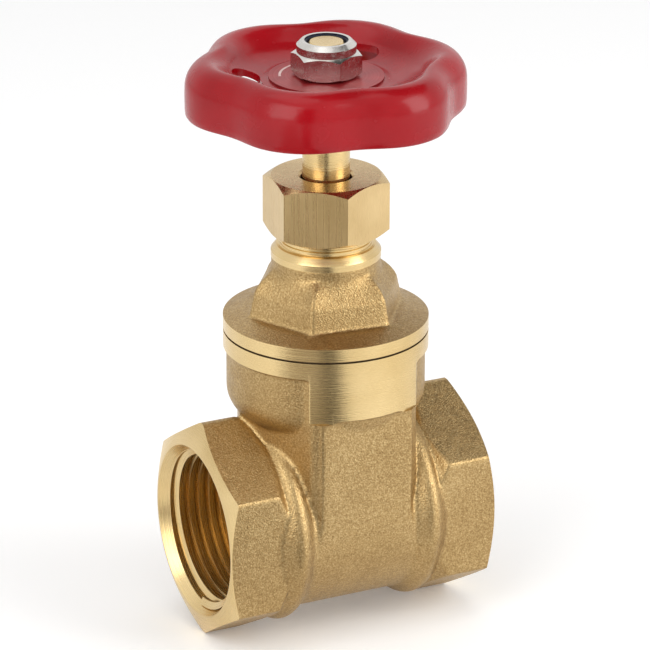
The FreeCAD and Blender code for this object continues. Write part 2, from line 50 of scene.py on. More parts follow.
# ------------------------------------------------------------------ shader helpers
class Finish:
    """A procedural material and short ways to add nodes to it."""

    def __init__(self, name):
        self.material = bpy.data.materials.new(name)
        self.material.use_nodes = True
        self.tree = self.material.node_tree
        self.shader = self.tree.nodes["Principled BSDF"]
        self.place = self.add("ShaderNodeTexCoord").outputs["Object"]

    def add(self, kind, **settings):
        node = self.tree.nodes.new(kind)
        for key, value in settings.items():
            setattr(node, key, value)
        return node

    def link(self, source, target):
        self.tree.links.new(source, target)

    def math(self, operation, first, second=0.0):
        node = self.add("ShaderNodeMath", operation=operation)
        for socket, value in zip(node.inputs, (first, second)):
            if isinstance(value, (int, float)):
                socket.default_value = value
            else:
                self.link(value, socket)
        return node.outputs[0]

    def moved(self, offset, scale=(1, 1, 1)):
        node = self.add("ShaderNodeMapping")
        node.inputs["Location"].default_value = offset
        node.inputs["Scale"].default_value = scale
        self.link(self.place, node.inputs["Vector"])
        return node.outputs[0]

    def noise(self, scale, detail=3.0, rough=0.55, vector=None):
        node = self.add("ShaderNodeTexNoise")
        node.inputs["Scale"].default_value = scale
        node.inputs["Detail"].default_value = detail
        node.inputs["Roughness"].default_value = rough
        self.link(vector or self.place, node.inputs["Vector"])
        return node.outputs["Fac"]

    def cells(self, scale):
        node = self.add("ShaderNodeTexVoronoi")
        node.inputs["Scale"].default_value = scale
        self.link(self.place, node.inputs["Vector"])
        return node.outputs["Distance"]

    def turned_lines(self, axis, lines_per_metre):
        """Irregular rings about an axis, on its faces and its cylinders alike."""
        split = self.add("ShaderNodeSeparateXYZ")
        self.link(self.moved((-AXIS_X, 0, 0)), split.inputs[0])
        along = split.outputs[axis]
        across = [split.outputs[k] for k in "XYZ" if k != axis]
        squares = [self.math("MULTIPLY", side, side) for side in across]
        radius = self.math("SQRT", self.math("ADD", *squares))
        node = self.add("ShaderNodeTexNoise", noise_dimensions="1D")
        node.inputs["Scale"].default_value = lines_per_metre
        node.inputs["Detail"].default_value = 2.0
        self.link(self.math("ADD", radius, along), node.inputs["W"])
        return node.outputs["Fac"]

    def ramp(self, factor, stops):
        node = self.add("ShaderNodeValToRGB")
        elements = node.color_ramp.elements
        while len(elements) < len(stops):
            elements.new(0.5)
        for element, (place, colour) in zip(elements, stops):
            element.position = place
            element.color = (*colour, 1)
        self.link(factor, node.inputs[0])
        return node.outputs[0]

    def spread(self, factor, low, high):
        node = self.add("ShaderNodeMapRange")
        node.inputs["From Min"].default_value = 0.3
        node.inputs["From Max"].default_value = 0.7
        node.inputs["To Min"].default_value = low
        node.inputs["To Max"].default_value = high
        self.link(factor, node.inputs["Value"])
        return node.outputs[0]

    def bump(self, layers):
        """Bumps on top of one another: (height socket, depth in metres) each."""
        normal = None
        for height, depth in layers:
            node = self.add("ShaderNodeBump")
            node.inputs["Strength"].default_value = 1.0
            node.inputs["Distance"].default_value = depth
            self.link(height, node.inputs["Height"])
            if normal is not None:
                self.link(normal, node.inputs["Normal"])
            normal = node.outputs[0]
        self.link(normal, self.shader.inputs["Normal"])

    def set(self, **values):
        for key, value in values.items():
            self.shader.inputs[key.replace("_", " ")].default_value = value


def srgb(red, green, blue):
    def linear(value):
        value /= 255
        return value / 12.92 if value <= 0.04045 else ((value + 0.055) / 1.055) ** 2.4
    return tuple(linear(value) for value in (red, green, blue))


# ------------------------------------------------------------------ finishes
def forged_brass():
    finish = Finish("forged brass")
    finish.set(Metallic=1.0)
    patches = finish.math("MULTIPLY", finish.noise(60, 3), 0.25)
    grains = finish.math("MULTIPLY", finish.noise(2700, 2), 0.75)
    colour = finish.ramp(finish.math("ADD", patches, grains), [
        (0.34, srgb(148, 120, 78)), (0.50, srgb(172, 144, 97)), (0.66, srgb(196, 169, 121)),
    ])
    finish.link(colour, finish.shader.inputs["Base Color"])
    finish.link(finish.spread(finish.noise(700, 3), 0.36, 0.50), finish.shader.inputs["Roughness"])
    finish.bump([
        (finish.noise(900, 2), 0.00004), (finish.cells(3000), 0.00006), (finish.noise(5200, 2), 0.00003),
    ])
    return finish.material


def turned_brass(axis):
    finish = Finish("turned brass " + axis)
    finish.set(Metallic=1.0)
    lines = finish.turned_lines(axis, 5200)
    colour = finish.ramp(finish.noise(60, 3), [
        (0.3, srgb(206, 178, 124)), (0.7, srgb(224, 198, 146)),
    ])
    finish.link(colour, finish.shader.inputs["Base Color"])
    finish.link(finish.spread(lines, 0.20, 0.32), finish.shader.inputs["Roughness"])
    finish.bump([(lines, 0.00002), (finish.turned_lines(axis, 900), 0.00002)])
    return finish.material


def brushed_brass():
    finish = Finish("brushed brass")
    finish.set(Metallic=1.0)
    streaks = finish.noise(1, 4, 0.6, finish.moved((0, 0, 0), (2400, 2400, 60)))
    colour = finish.ramp(finish.noise(80, 3), [
        (0.3, srgb(196, 168, 118)), (0.7, srgb(214, 186, 136)),
    ])
    finish.link(colour, finish.shader.inputs["Base Color"])
    finish.link(finish.spread(streaks, 0.22, 0.36), finish.shader.inputs["Roughness"])
    finish.bump([(streaks, 0.00002)])
    return finish.material


def red_enamel():
    finish = Finish("red enamel")
    colour = finish.ramp(finish.noise(70, 3), [
        (0.3, srgb(140, 2, 12)), (0.7, srgb(154, 4, 17)),
    ])
    finish.link(colour, finish.shader.inputs["Base Color"])
    finish.link(finish.spread(finish.noise(160, 3), 0.20, 0.30), finish.shader.inputs["Roughness"])
    finish.set(Coat_Weight=0.05, Coat_Roughness=0.12, Specular_IOR_Level=0.28)
    finish.bump([(finish.noise(240, 2), 0.00008), (finish.noise(900, 2), 0.00001)])
    return finish.material


def red_plate():
    finish = Finish("red lacquered plate")
    finish.set(Metallic=0.35)
    lines = finish.turned_lines("Z", 3000)
    colour = finish.ramp(finish.noise(300, 4), [
        (0.3, srgb(140, 36, 40)), (0.7, srgb(164, 48, 50)),
    ])
    finish.link(colour, finish.shader.inputs["Base Color"])
    finish.link(finish.spread(lines, 0.28, 0.42), finish.shader.inputs["Roughness"])
    finish.bump([(lines, 0.000015)])
    return finish.material


def bright_steel():
    finish = Finish("bright steel")
    finish.set(Metallic=1.0)
    lines = finish.turned_lines("Z", 4200)
    colour = finish.ramp(finish.noise(200, 3), [
        (0.3, srgb(196, 192, 186)), (0.7, srgb(214, 211, 206)),
    ])
    finish.link(colour, finish.shader.inputs["Base Color"])
    finish.link(finish.spread(finish.noise(900, 3), 0.16, 0.30), finish.shader.inputs["Roughness"])
    finish.bump([(lines, 0.000012), (finish.noise(1400, 2), 0.00001)])
    return finish.material


def soft_finish(name, dark, light, rough_low, rough_high, grain, depth, metallic=0.0):
    """A plain inner or moulded finish: two close colours and a grain."""
    finish = Finish(name)
    finish.set(Metallic=metallic)
    grains = finish.noise(grain, 4)
    finish.link(finish.ramp(grains, [(0.3, dark), (0.7, light)]), finish.shader.inputs["Base Color"])
    finish.link(finish.spread(grains, rough_low, rough_high), finish.shader.inputs["Roughness"])
    finish.bump([(grains, depth)])
    return finish.material


FORGED = forged_brass()
TURNED_Z = turned_brass("Z")
TURNED_X = turned_brass("X")
BRUSHED = brushed_brass()
ENAMEL = red_enamel()
PLATE = red_plate()
STEEL = bright_steel()
INSERT = soft_finish("blue nylon", srgb(24, 28, 44), srgb(38, 44, 66), 0.35, 0.5, 900, 0.00001)
FIBRE = soft_finish("gasket fibre", srgb(36, 30, 24), srgb(62, 52, 40), 0.7, 0.9, 2500, 0.00003)
SEAL = soft_finish("white seal", srgb(214, 212, 205), srgb(230, 229, 224), 0.4, 0.55, 900, 0.00001)
GRAPHITE = soft_finish("graphite packing", srgb(38, 38, 40), srgb(62, 62, 66), 0.45, 0.65, 1800, 0.00004)
PRINT = soft_finish("plate print", srgb(214, 178, 172), srgb(232, 204, 198), 0.4, 0.55, 900, 0.00001)
SPRING = soft_finish("spring steel", srgb(96, 96, 98), srgb(128, 128, 132), 0.3, 0.45, 1200, 0.00001, 1.0)

# ------------------------------------------------------------------ mesh helpers, in millimetres
# Shapes are drawn about the crossing of the bore axis (X) and the stem axis (Z).
ROW = Matrix.Translation((AXIS_X, 0, 0)) @ Matrix.Scale(MM, 4)


def solid(name, points, faces):
    """Closed mesh object with its faces turned outwards."""
    mesh = bpy.data.meshes.new(name)
    shape = bmesh.new()
    corners = [shape.verts.new(point) for point in points]
    for face in faces:
        shape.faces.new([corners[k] for k in face])
    bmesh.ops.recalc_face_normals(shape, faces=shape.faces)
    if shape.calc_volume(signed=True) < 0:
        bmesh.ops.reverse_faces(shape, faces=shape.faces)
    shape.to_mesh(mesh)
    shape.free()
    made = bpy.data.objects.new(name, mesh)
    bpy.context.scene.collection.objects.link(made)
    return made


def loft(name, rings):
    """Solid through rings of points that all have the same count."""
    count = len(rings[0])
    points = [point for ring in rings for point in ring]
    faces = []
    for level in range(len(rings) - 1):
        for k in range(count):
            near = level * count
            after = (k + 1) % count
            faces.append((near + k, near + after, near + count + after, near + count + k))
    faces.append(tuple(range(count)))
    faces.append(tuple(range(len(points) - count, len(points))))
    return solid(name, points, faces)


def turned(name, profile, axis="Z", steps=160):
    """Solid of revolution from (radius, along) points that start and end on the axis."""
    points = []
    rows = []
    for radius, along in profile:
        if radius <= 0:
            rows.append([len(points)])
            points.append((0, 0, along))
            continue
        rows.append(list(range(len(points), len(points) + steps)))
        for k in range(steps):
            angle = 2 * math.pi * k / steps
            points.append((radius * math.cos(angle), radius * math.sin(angle), along))
    faces = []
    for low, high in zip(rows, rows[1:]):
        for k in range(steps):
            after = (k + 1) % steps
            if len(low) == 1 and len(high) == 1:
                continue
            if len(low) == 1:
                faces.append((low[0], high[after], high[k]))
            elif len(high) == 1:
                faces.append((low[k], low[after], high[0]))
            else:
                faces.append((low[k], low[after], high[after], high[k]))
    if axis == "X":
        points = [(z, x, y) for x, y, z in points]
    return solid(name, points, faces)


def prism(name, outline, low, high, axis="Z"):
    """Bar with a flat outline, from low to high along an axis."""
    if axis == "X":
        return loft(name, [[(along, a, b) for a, b in outline] for along in (low, high)])
    return loft(name, [[(a, b, along) for a, b in outline] for along in (low, high)])


def block(name, low, high):
    outline = [(low[0], low[1]), (high[0], low[1]), (high[0], high[1]), (low[0], high[1])]
    return prism(name, outline, low[2], high[2])


def plain(made):
    """Applies the modifiers."""
    graph = bpy.context.evaluated_depsgraph_get()
    mesh = bpy.data.meshes.new_from_object(made.evaluated_get(graph))
    made.modifiers.clear()
    made.data = mesh
    return made


def combine(made, tool, operation):
    step = made.modifiers.new("cut", "BOOLEAN")
    step.solver = "MANIFOLD"
    step.operation = operation
    step.object = tool
    bpy.context.view_layer.update()
    plain(made)
    bpy.data.objects.remove(tool)
    return made


def together(made, others):
    """Joins closed shells into one object, without cutting them."""
    shape = bmesh.new()
    shape.from_mesh(made.data)
    for other in others:
        shape.from_mesh(other.data)
        bpy.data.objects.remove(other)
    shape.to_mesh(made.data)
    shape.free()
    return made


def forged(made, grain, rounds):
    """One skin over all the shells, with its corners softened as a die leaves them."""
    skin = made.modifiers.new("skin", "REMESH")
    skin.mode = "VOXEL"
    skin.voxel_size = grain
    soft = made.modifiers.new("soft", "SMOOTH")
    soft.factor = 0.5
    soft.iterations = rounds
    bpy.context.view_layer.update()
    return plain(made)


MADE_SHARP = 40


def one_finish(centre, normal):
    return 0


def finished(made, materials, choose, replaced, body, sharp_deg=32):
    """Gives each face its finish, moves the mesh to its place and hangs it on its body."""
    mesh = made.data
    mesh.materials.clear()
    for material in materials:
        mesh.materials.append(material)
    for face in mesh.polygons:
        face.material_index = choose(face.center, face.normal)
        face.use_smooth = True
    mesh.transform(ROW)
    mesh.set_sharp_from_angle(angle=math.radians(sharp_deg))
    mesh.update()
    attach(made, body)
    for node in replaced:
        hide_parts(node)
    return made


# ------------------------------------------------------------------ node trees
def tree_with(name, inputs):
    tree = bpy.data.node_groups.new(name, "GeometryNodeTree")
    tree.interface.new_socket("Geometry", in_out="INPUT", socket_type="NodeSocketGeometry")
    for label, kind in inputs:
        tree.interface.new_socket(label, in_out="INPUT", socket_type="NodeSocket" + kind)
    tree.interface.new_socket("Geometry", in_out="OUTPUT", socket_type="NodeSocketGeometry")
    return tree, tree.nodes.new("NodeGroupInput"), tree.nodes.new("NodeGroupOutput")


def finish_tree(tree, shape, entry, leave):
    """Ends a tree in Realize Instances and Set Material."""
    real = tree.nodes.new("GeometryNodeRealizeInstances")
    paint = tree.nodes.new("GeometryNodeSetMaterial")
    tree.links.new(shape, real.inputs[0])
    tree.links.new(real.outputs[0], paint.inputs[0])
    tree.links.new(entry.outputs["Material"], paint.inputs["Material"])
    tree.links.new(paint.outputs[0], leave.inputs[0])


def use_tree(made, tree, values):
    step = made.modifiers.new("tree", "NODES")
    step.node_group = tree
    for item in tree.interface.items_tree:
        if item.in_out == "INPUT" and item.name in values:
            step[item.identifier] = values[item.name]
    made.data.update()
    bpy.context.view_layer.update()
    return plain(made)


def ridge_tree():
    """A helical thread ridge: a tapered section swept along a spiral about Z."""
    tree, entry, leave = tree_with("thread ridge", [
        ("Radius", "Float"), ("Pitch", "Float"), ("Turns", "Float"), ("Section", "Object"),
        ("Material", "Material"),
    ])
    spiral = tree.nodes.new("GeometryNodeCurveSpiral")
    spiral.inputs["Resolution"].default_value = 96
    height = tree.nodes.new("ShaderNodeMath")
    height.operation = "MULTIPLY"
    tree.links.new(entry.outputs["Pitch"], height.inputs[0])
    tree.links.new(entry.outputs["Turns"], height.inputs[1])
    tree.links.new(entry.outputs["Turns"], spiral.inputs["Rotations"])
    tree.links.new(entry.outputs["Radius"], spiral.inputs["Start Radius"])
    tree.links.new(entry.outputs["Radius"], spiral.inputs["End Radius"])
    tree.links.new(height.outputs[0], spiral.inputs["Height"])
    upright = tree.nodes.new("GeometryNodeSetCurveNormal")
    upright.mode = "Z_UP"
    tree.links.new(spiral.outputs[0], upright.inputs[0])
    section = tree.nodes.new("GeometryNodeObjectInfo")
    tree.links.new(entry.outputs["Section"], section.inputs["Object"])
    line = tree.nodes.new("GeometryNodeMeshToCurve")
    tree.links.new(section.outputs["Geometry"], line.inputs[0])
    sweep = tree.nodes.new("GeometryNodeCurveToMesh")
    sweep.inputs["Fill Caps"].default_value = True
    tree.links.new(upright.outputs[0], sweep.inputs["Curve"])
    tree.links.new(line.outputs[0], sweep.inputs["Profile Curve"])
    finish_tree(tree, sweep.outputs[0], entry, leave)
    return tree


RIDGE = ridge_tree()
SUNK = 0.2


def thread_ridge(radius, depth, pitch, turns, root_width, crest_width, material, inwards):
    """Ridge that stands on a wall of that radius, inwards on a bore or outwards on a bar."""
    way = -1 if inwards else 1
    mesh = bpy.data.meshes.new("section")
    mesh.from_pydata([
        (way * SUNK, -root_width / 2, 0), (-way * depth, -crest_width / 2, 0),
        (-way * depth, crest_width / 2, 0), (way * SUNK, root_width / 2, 0),
    ], [(0, 1), (1, 2), (2, 3), (3, 0)], [])
    section = bpy.data.objects.new("section", mesh)
    bpy.context.scene.collection.objects.link(section)
    ridge = bpy.data.objects.new("ridge", bpy.data.meshes.new("ridge"))
    bpy.context.scene.collection.objects.link(ridge)
    use_tree(ridge, RIDGE, {
        "Radius": radius, "Pitch": pitch, "Turns": turns, "Section": section, "Material": material,
    })
    bpy.data.objects.remove(section)
    shape = bmesh.new()
    shape.from_mesh(ridge.data)
    bmesh.ops.remove_doubles(shape, verts=shape.verts, dist=1e-5)
    bmesh.ops.recalc_face_normals(shape, faces=shape.faces)
    if shape.calc_volume(signed=True) < 0:
        bmesh.ops.reverse_faces(shape, faces=shape.faces)
    shape.to_mesh(ridge.data)
    shape.free()
    return ridge


# ------------------------------------------------------------------ body
HALF = (body_high.x - body_low.x) / 2 / MM
APEX = -body_low.z / MM
TOP = body_high.z / MM
FLANGE_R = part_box("bonnet")[1].y / MM
SIDE = 18.65
SHOULDER = 12.6
BARREL_R = 19.3
BEAD_X = 15.0
BEAD_RISE = 2.05
BEAD_HALF = 3.3
NECK_R = 20.5
BAND_LOW = 36.55
PAD_HALF = 8.85
PAD_LOW = 27.6
SLAB_HALF = 10.4
SLAB_Y = 19.45
THREAD_PITCH = 25.4 / 11
THREAD_ROOT_R = 33.249 / 2
THREAD_CREST_R = 15.45
THREAD_DEPTH = 14.3
ROOT_GAP = 0.3846
CHAMFER_R = 18.4
CHAMFER_SLOPE = math.tan(math.radians(22))
SINK_R = 18.0
SINK_DEPTH = 2.1
PORT_R = 12.0
RELIEF_R = 14.4
SEAT_HALF = 6.6
SEAT_WALL = 3.5
POCKET_R = 15.3
TAPER = math.tan(math.radians(4))
BONNET_BORE_R = 17.5
SPIGOT_Z = TOP - 6.6
STOCK = 1.5
POCKET_HALF_X = 12.0
BLUNT_HALF = 0.7
BLUNT_DROP = 0.385
CORNER_LOSS = 0.33
BODY_GRAIN = 0.42
BONNET_GRAIN = 0.34
SOFT_ROUNDS = 5
FINE_STEPS = 256
WIDE = 60


def hexagonal_end(side):
    """Hexagonal end bar whose corners slope down to the bead behind it."""
    low, high = sorted((side * (HALF + STOCK), side * (BEAD_X + 1.0)))
    peak = APEX + CORNER_LOSS - BLUNT_DROP
    outline = [
        (SIDE, SHOULDER), (BLUNT_HALF, peak), (-BLUNT_HALF, peak), (-SIDE, SHOULDER),
        (-SIDE, -SHOULDER), (-BLUNT_HALF, -peak), (BLUNT_HALF, -peak), (SIDE, -SHOULDER),
    ]
    bar = prism("hexagon", outline, low, high, "X")
    outer = side * (HALF + 2 * STOCK)
    inner = side * (BEAD_X + 0.5)
    slope = turned("slope", [
        (0, outer), (APEX + 1, outer), (APEX + 1, side * 21.2), (APEX - 3.2, side * 17.6),
        (APEX - 5.5, inner), (0, inner),
    ], "X")
    return combine(bar, slope, "INTERSECT")


def barrel():
    """Barrel with a rounded bead at each end, all in one turned profile."""
    def bead(x):
        away = (abs(x) - BEAD_X) / BEAD_HALF
        return BEAD_RISE * math.cos(away * math.pi / 2) ** 1.2 if abs(away) < 1 else 0.0
    steps = 120
    reach = BEAD_X + BEAD_HALF
    profile = [(0, -reach)]
    for k in range(steps + 1):
        x = -reach + 2 * reach * k / steps
        profile.append((BARREL_R + bead(x), x))
    profile.append((0, reach))
    return turned("barrel", profile, "X")


def wedge_casing():
    """Upright casing round the wedge: webs that narrow to a flat slab front and back."""
    quarter = [(19.6, 0), (14.9, 11.0), (12.0, 17.6), (11.0, 18.5), (9.4, 18.9)]
    front = quarter + [(-x, y) for x, y in reversed(quarter)]
    outline = front + [(x, -y) for x, y in reversed(front[1:-1])]
    web = prism("web", outline, 0, BAND_LOW)
    slab = block("slab", (-SLAB_HALF, -SLAB_Y, 1), (SLAB_HALF, SLAB_Y, BAND_LOW))
    return together(web, [slab])


def body_neck():
    """Round neck, the thick band at its top and the boss each side for the turned pads."""
    rough_r = FLANGE_R + 1.05
    rough_y = FLANGE_R + 1.25
    rough_top = TOP + STOCK
    neck = turned("neck", [
        (0, 22.6), (17.2, 22.6), (18.4, 23.2), (19.6, 24.6), (20.3, 26.2), (NECK_R, PAD_LOW),
        (NECK_R, BAND_LOW), (rough_r, BAND_LOW + 0.1), (rough_r, rough_top), (0, rough_top),
    ])
    boss = block("boss", (-PAD_HALF, -rough_y, PAD_LOW), (PAD_HALF, rough_y, rough_top))
    return together(neck, [boss])


def pocket_cutter():
    """Space for the wedge: round below, straight-sided above, narrower downwards."""
    low = -POCKET_R - 1
    high = SPIGOT_Z + 1
    outer_y = POCKET_R + 4.7
    round_part = turned("round", [
        (0, -POCKET_HALF_X), (POCKET_R, -POCKET_HALF_X), (POCKET_R, POCKET_HALF_X), (0, POCKET_HALF_X),
    ], "X")
    straight = block("straight", (-POCKET_HALF_X, -POCKET_R, 0), (POCKET_HALF_X, POCKET_R, high))
    shape = combine(round_part, straight, "UNION")
    wide = SEAT_HALF + high * TAPER
    narrow = SEAT_HALF + low * TAPER
    sides = loft("sides", [
        [(-half, -outer_y, z), (half, -outer_y, z), (half, outer_y, z), (-half, outer_y, z)]
        for half, z in ((narrow, low), (wide, high))
    ])
    return combine(shape, sides, "INTERSECT")


def end_cutter():
    """What the lathe leaves of the forging: both end faces and their 22 degree chamfers."""
    corner = APEX + 2
    inner = HALF - (corner - CHAMFER_R) * CHAMFER_SLOPE
    clear = HALF + 5
    half = [(0, HALF), (CHAMFER_R, HALF), (corner, inner), (corner, clear), (WIDE, clear)]
    return turned("ends", [(r, -x) for r, x in half] + [(r, x) for r, x in reversed(half)], "X")


def waterway_cutter():
    """Countersinks, thread root bores, reliefs and the port, in one turned profile."""
    outside = HALF + 0.5
    sink_x = HALF - SINK_DEPTH
    thread_x = HALF - THREAD_DEPTH
    seat_x = SEAT_HALF + SEAT_WALL
    half = [
        (0, outside), (SINK_R + 0.32, outside), (SINK_R, HALF), (THREAD_ROOT_R + 0.1, sink_x),
        (THREAD_ROOT_R, sink_x - 0.05), (THREAD_ROOT_R, thread_x), (RELIEF_R, thread_x),
        (RELIEF_R, seat_x), (PORT_R, seat_x),
    ]
    profile = half + [(r, -x) for r, x in reversed(half)]
    return turned("waterway", profile, "X")


def pipe_threads():
    """Right-hand ridges in both bores, each starting just inside its countersink."""
    depth = THREAD_ROOT_R - THREAD_CREST_R
    flank = math.tan(math.radians(27.5))
    root = THREAD_PITCH - ROOT_GAP
    crest = root - 2 * depth * flank
    turns = (THREAD_DEPTH - SINK_DEPTH - 0.3) / THREAD_PITCH
    start = Matrix.Translation((-HALF + SINK_DEPTH + 0.2, 0, 0))
    made = []
    for side in (-1, 1):
        ridge = thread_ridge(
            THREAD_ROOT_R, depth, THREAD_PITCH, turns, root + SUNK, crest, TURNED_X, True
        )
        ridge.data.transform(Matrix.Rotation(math.radians(90), 4, "Y"))
        ridge.data.transform(start)
        if side > 0:
            ridge.data.transform(Matrix.Rotation(math.pi, 4, "Z"))
        made.append(ridge)
    return made


def body_finish(centre, normal):
    """0 forged, 1 turned about the bore, 2 turned about the stem."""
    x, y, z = centre
    about_x = math.hypot(y, z)
    about_z = math.hypot(x, y)
    end_cone = HALF - (about_x - CHAMFER_R) * CHAMFER_SLOPE
    on_cone = about_x > CHAMFER_R and abs(abs(x) - end_cone) < 0.06 and abs(normal.x) > 0.85
    if abs(x) > HALF - 0.03 or on_cone:
        return 1
    if about_x < SINK_R + 0.02 and z < 18:
        return 1
    if z > TOP - 0.02 or (z > 27 and abs(about_z - FLANGE_R) < 0.05 and abs(normal.z) < 0.1):
        return 2
    if z > SPIGOT_Z - 0.1 and about_z < BONNET_BORE_R + 0.05:
        return 2
    return 0


def valve_body():
    blank = together(barrel(), [hexagonal_end(-1), hexagonal_end(1), wedge_casing(), body_neck()])
    blank.name = "forged_body"
    forged(blank, BODY_GRAIN, SOFT_ROUNDS)
    lathe_low = PAD_LOW - 0.7
    lathe = turned("lathe", [
        (0, -WIDE), (WIDE, -WIDE), (WIDE, lathe_low), (FLANGE_R, lathe_low), (FLANGE_R, TOP), (0, TOP),
    ], steps=FINE_STEPS)
    combine(blank, lathe, "INTERSECT")
    combine(blank, end_cutter(), "INTERSECT")
    combine(blank, waterway_cutter(), "DIFFERENCE")
    combine(blank, pocket_cutter(), "DIFFERENCE")
    bore = turned("bonnet_bore", [
        (0, SPIGOT_Z), (BONNET_BORE_R, SPIGOT_Z), (BONNET_BORE_R, TOP + 1), (0, TOP + 1),
    ])
    combine(blank, bore, "DIFFERENCE")
    together(blank, pipe_threads())
    return finished(
        blank, (FORGED, TURNED_X, TURNED_Z), body_finish, ["valve_body"], "valve"
    )


# ------------------------------------------------------------------ bonnet
BONNET_LOW = TOP + 0.3
EDGE_TOP = 43.2
HEX_PHASE = 54.0
HEX_LOW = 44.4
HEX_HIGH = 49.2
SHOULDER_TOP = 54.1
BONNET_NECK_R = 11.2
COLLAR_LOW = 56.0
CORNER_LOW_R = 16.7
CORNER_HIGH_R = 15.7
SKIN_LOW = 43.6
SKIN_LEVELS = 64
SKIN_STEPS = 180
THREAD_CORE_R = 9.2
BONNET_TOP = 67.0
EDGE_BREAK = 0.15


def bonnet_skin():
    """Hexagon that turns round above: full at its corners, hollow at its flats."""
    def radius(angle, z):
        lean = (CORNER_LOW_R - CORNER_HIGH_R) / (HEX_HIGH - HEX_LOW)
        corner = CORNER_LOW_R - (z - HEX_LOW) * lean if z < HEX_HIGH else CORNER_HIGH_R
        flat = corner * math.cos(math.radians(30))
        off = (math.degrees(angle) - HEX_PHASE + 30) % 60 - 30
        hexed = flat / math.cos(math.radians(30 - abs(off)))
        if z <= HEX_HIGH:
            return hexed
        rise = min((z - HEX_HIGH) / (SHOULDER_TOP - HEX_HIGH), 1.0)
        full = 1 - rise ** 1.6
        hollow = (1 - rise) ** 1.5
        share = (hexed - flat) / (corner - flat)
        return BONNET_NECK_R + (hexed - BONNET_NECK_R) * (share * full + (1 - share) * hollow)
    rings = []
    skin_high = COLLAR_LOW + 0.4
    for level in range(SKIN_LEVELS + 1):
        z = SKIN_LOW + (skin_high - SKIN_LOW) * level / SKIN_LEVELS
        ring = []
        for k in range(SKIN_STEPS):
            angle = 2 * math.pi * k / SKIN_STEPS
            r = radius(angle, z)
            ring.append((r * math.cos(angle), r * math.sin(angle), z))
        rings.append(ring)
    return loft("bonnet_hexagon", rings)


def bonnet_bore():
    """Room inside the bonnet: spigot bore, roof, collar chamber, ring groove and gland."""
    spigot_r, chamber_r, groove_r, stem_r, gland_r = 15.3, 8.0, 8.5, 4.95, 7.75
    above = BONNET_TOP + 1
    return turned("room", [
        (0, SPIGOT_Z - 1), (spigot_r, SPIGOT_Z - 1), (spigot_r, 41.95), (chamber_r, 46.65),
        (chamber_r, 47.5), (groove_r, 47.5), (groove_r, 48.55), (chamber_r, 48.55), (chamber_r, 51.9),
        (stem_r, 51.9), (stem_r, 56.5), (gland_r, 56.5), (gland_r, above), (0, above),
    ])


def bonnet_finish(centre, normal):
    about = math.hypot(centre.x, centre.y)
    if centre.z > COLLAR_LOW - 0.02 or centre.z < BONNET_LOW + 0.02:
        return 1
    if abs(about - FLANGE_R) < 0.05 and abs(normal.z) < 0.3:
        return 1
    return 0


def bonnet():
    flange_r = FLANGE_R + 1.25
    flange_top = HEX_LOW + 0.05
    flange = turned("bonnet_flange", [
        (0, BONNET_LOW - 1.35), (flange_r, BONNET_LOW - 1.35), (flange_r, EDGE_TOP - 0.36),
        (CORNER_LOW_R - 0.1, flange_top), (0, flange_top),
    ])
    forging = together(flange, [bonnet_skin()])
    forging.name = "forged_bonnet"
    forged(forging, BONNET_GRAIN, SOFT_ROUNDS)
    lathe = turned("lathe", [
        (0, BONNET_LOW), (FLANGE_R - EDGE_BREAK, BONNET_LOW), (FLANGE_R, BONNET_LOW + EDGE_BREAK),
        (FLANGE_R, COLLAR_LOW), (0, COLLAR_LOW),
    ], steps=FINE_STEPS)
    combine(forging, lathe, "INTERSECT")
    core_r = BONNET_NECK_R - 0.2
    collar_r = BONNET_NECK_R + 0.1
    shank = turned("shank", [
        (0, COLLAR_LOW - 2), (core_r, COLLAR_LOW - 2), (core_r, COLLAR_LOW), (collar_r, COLLAR_LOW),
        (collar_r, 57.3), (collar_r - EDGE_BREAK, 57.5), (10.2, 58.55), (9.6, 58.65), (9.45, 58.8),
        (9.45, 59.5), (THREAD_CORE_R, 59.7), (THREAD_CORE_R, BONNET_TOP - 0.4),
        (THREAD_CORE_R - 0.3, BONNET_TOP), (0, BONNET_TOP),
    ], steps=192)
    combine(forging, shank, "UNION")
    spigot_r = BONNET_BORE_R - 0.1
    joint = BONNET_LOW + 0.5
    spigot = turned("spigot", [
        (0, SPIGOT_Z), (spigot_r - 0.5, SPIGOT_Z), (spigot_r, SPIGOT_Z + 0.5), (spigot_r, joint),
        (0, joint),
    ])
    combine(forging, spigot, "UNION")
    combine(forging, bonnet_bore(), "DIFFERENCE")
    ridge = thread_ridge(
        THREAD_CORE_R, depth=0.8, pitch=1.5, turns=4.2, root_width=1.45, crest_width=0.25,
        material=TURNED_Z, inwards=False,
    )
    ridge.data.transform(Matrix.Translation((0, 0, 60.2)))
    together(forging, [ridge])
    return finished(
        forging, (FORGED, TURNED_Z), bonnet_finish, ["bonnet"], "valve"
    )


# ------------------------------------------------------------------ handwheel
WHEEL_LOW, WHEEL_HIGH = (corner.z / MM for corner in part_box("handwheel"))
WHEEL_MEAN_R = 27.58
WHEEL_LOBE = 1.25
WHEEL_PHASE = 48.0
SHEET = 1.5
HUB_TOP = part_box("id_plate")[0].z / MM
PLATE_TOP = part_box("id_plate")[1].z / MM
SLOT_INNER_R = 13.3
SLOT_OUTER_R = 19.0
SLOT_SPAN = 42.0
SQUARE_HALF = 4.05
RIM_IN = 4.6
RIM_DOWN = 5.4
RIM_STRAIGHT = 7.2
RIM_STEPS = 12
DISH_R = 19.0
DISH_RISE = 1.45
DISH_STEPS = 7
WHEEL_STEPS = 288
SLOTS = 3
VALLEY = 0.22


def wheel_outline(angle):
    """Six soft lobes with shorter, tighter valleys between them."""
    wave = math.cos(6 * (angle - math.radians(WHEEL_PHASE)))
    return WHEEL_MEAN_R + WHEEL_LOBE * (wave - VALLEY * wave * wave + VALLEY)


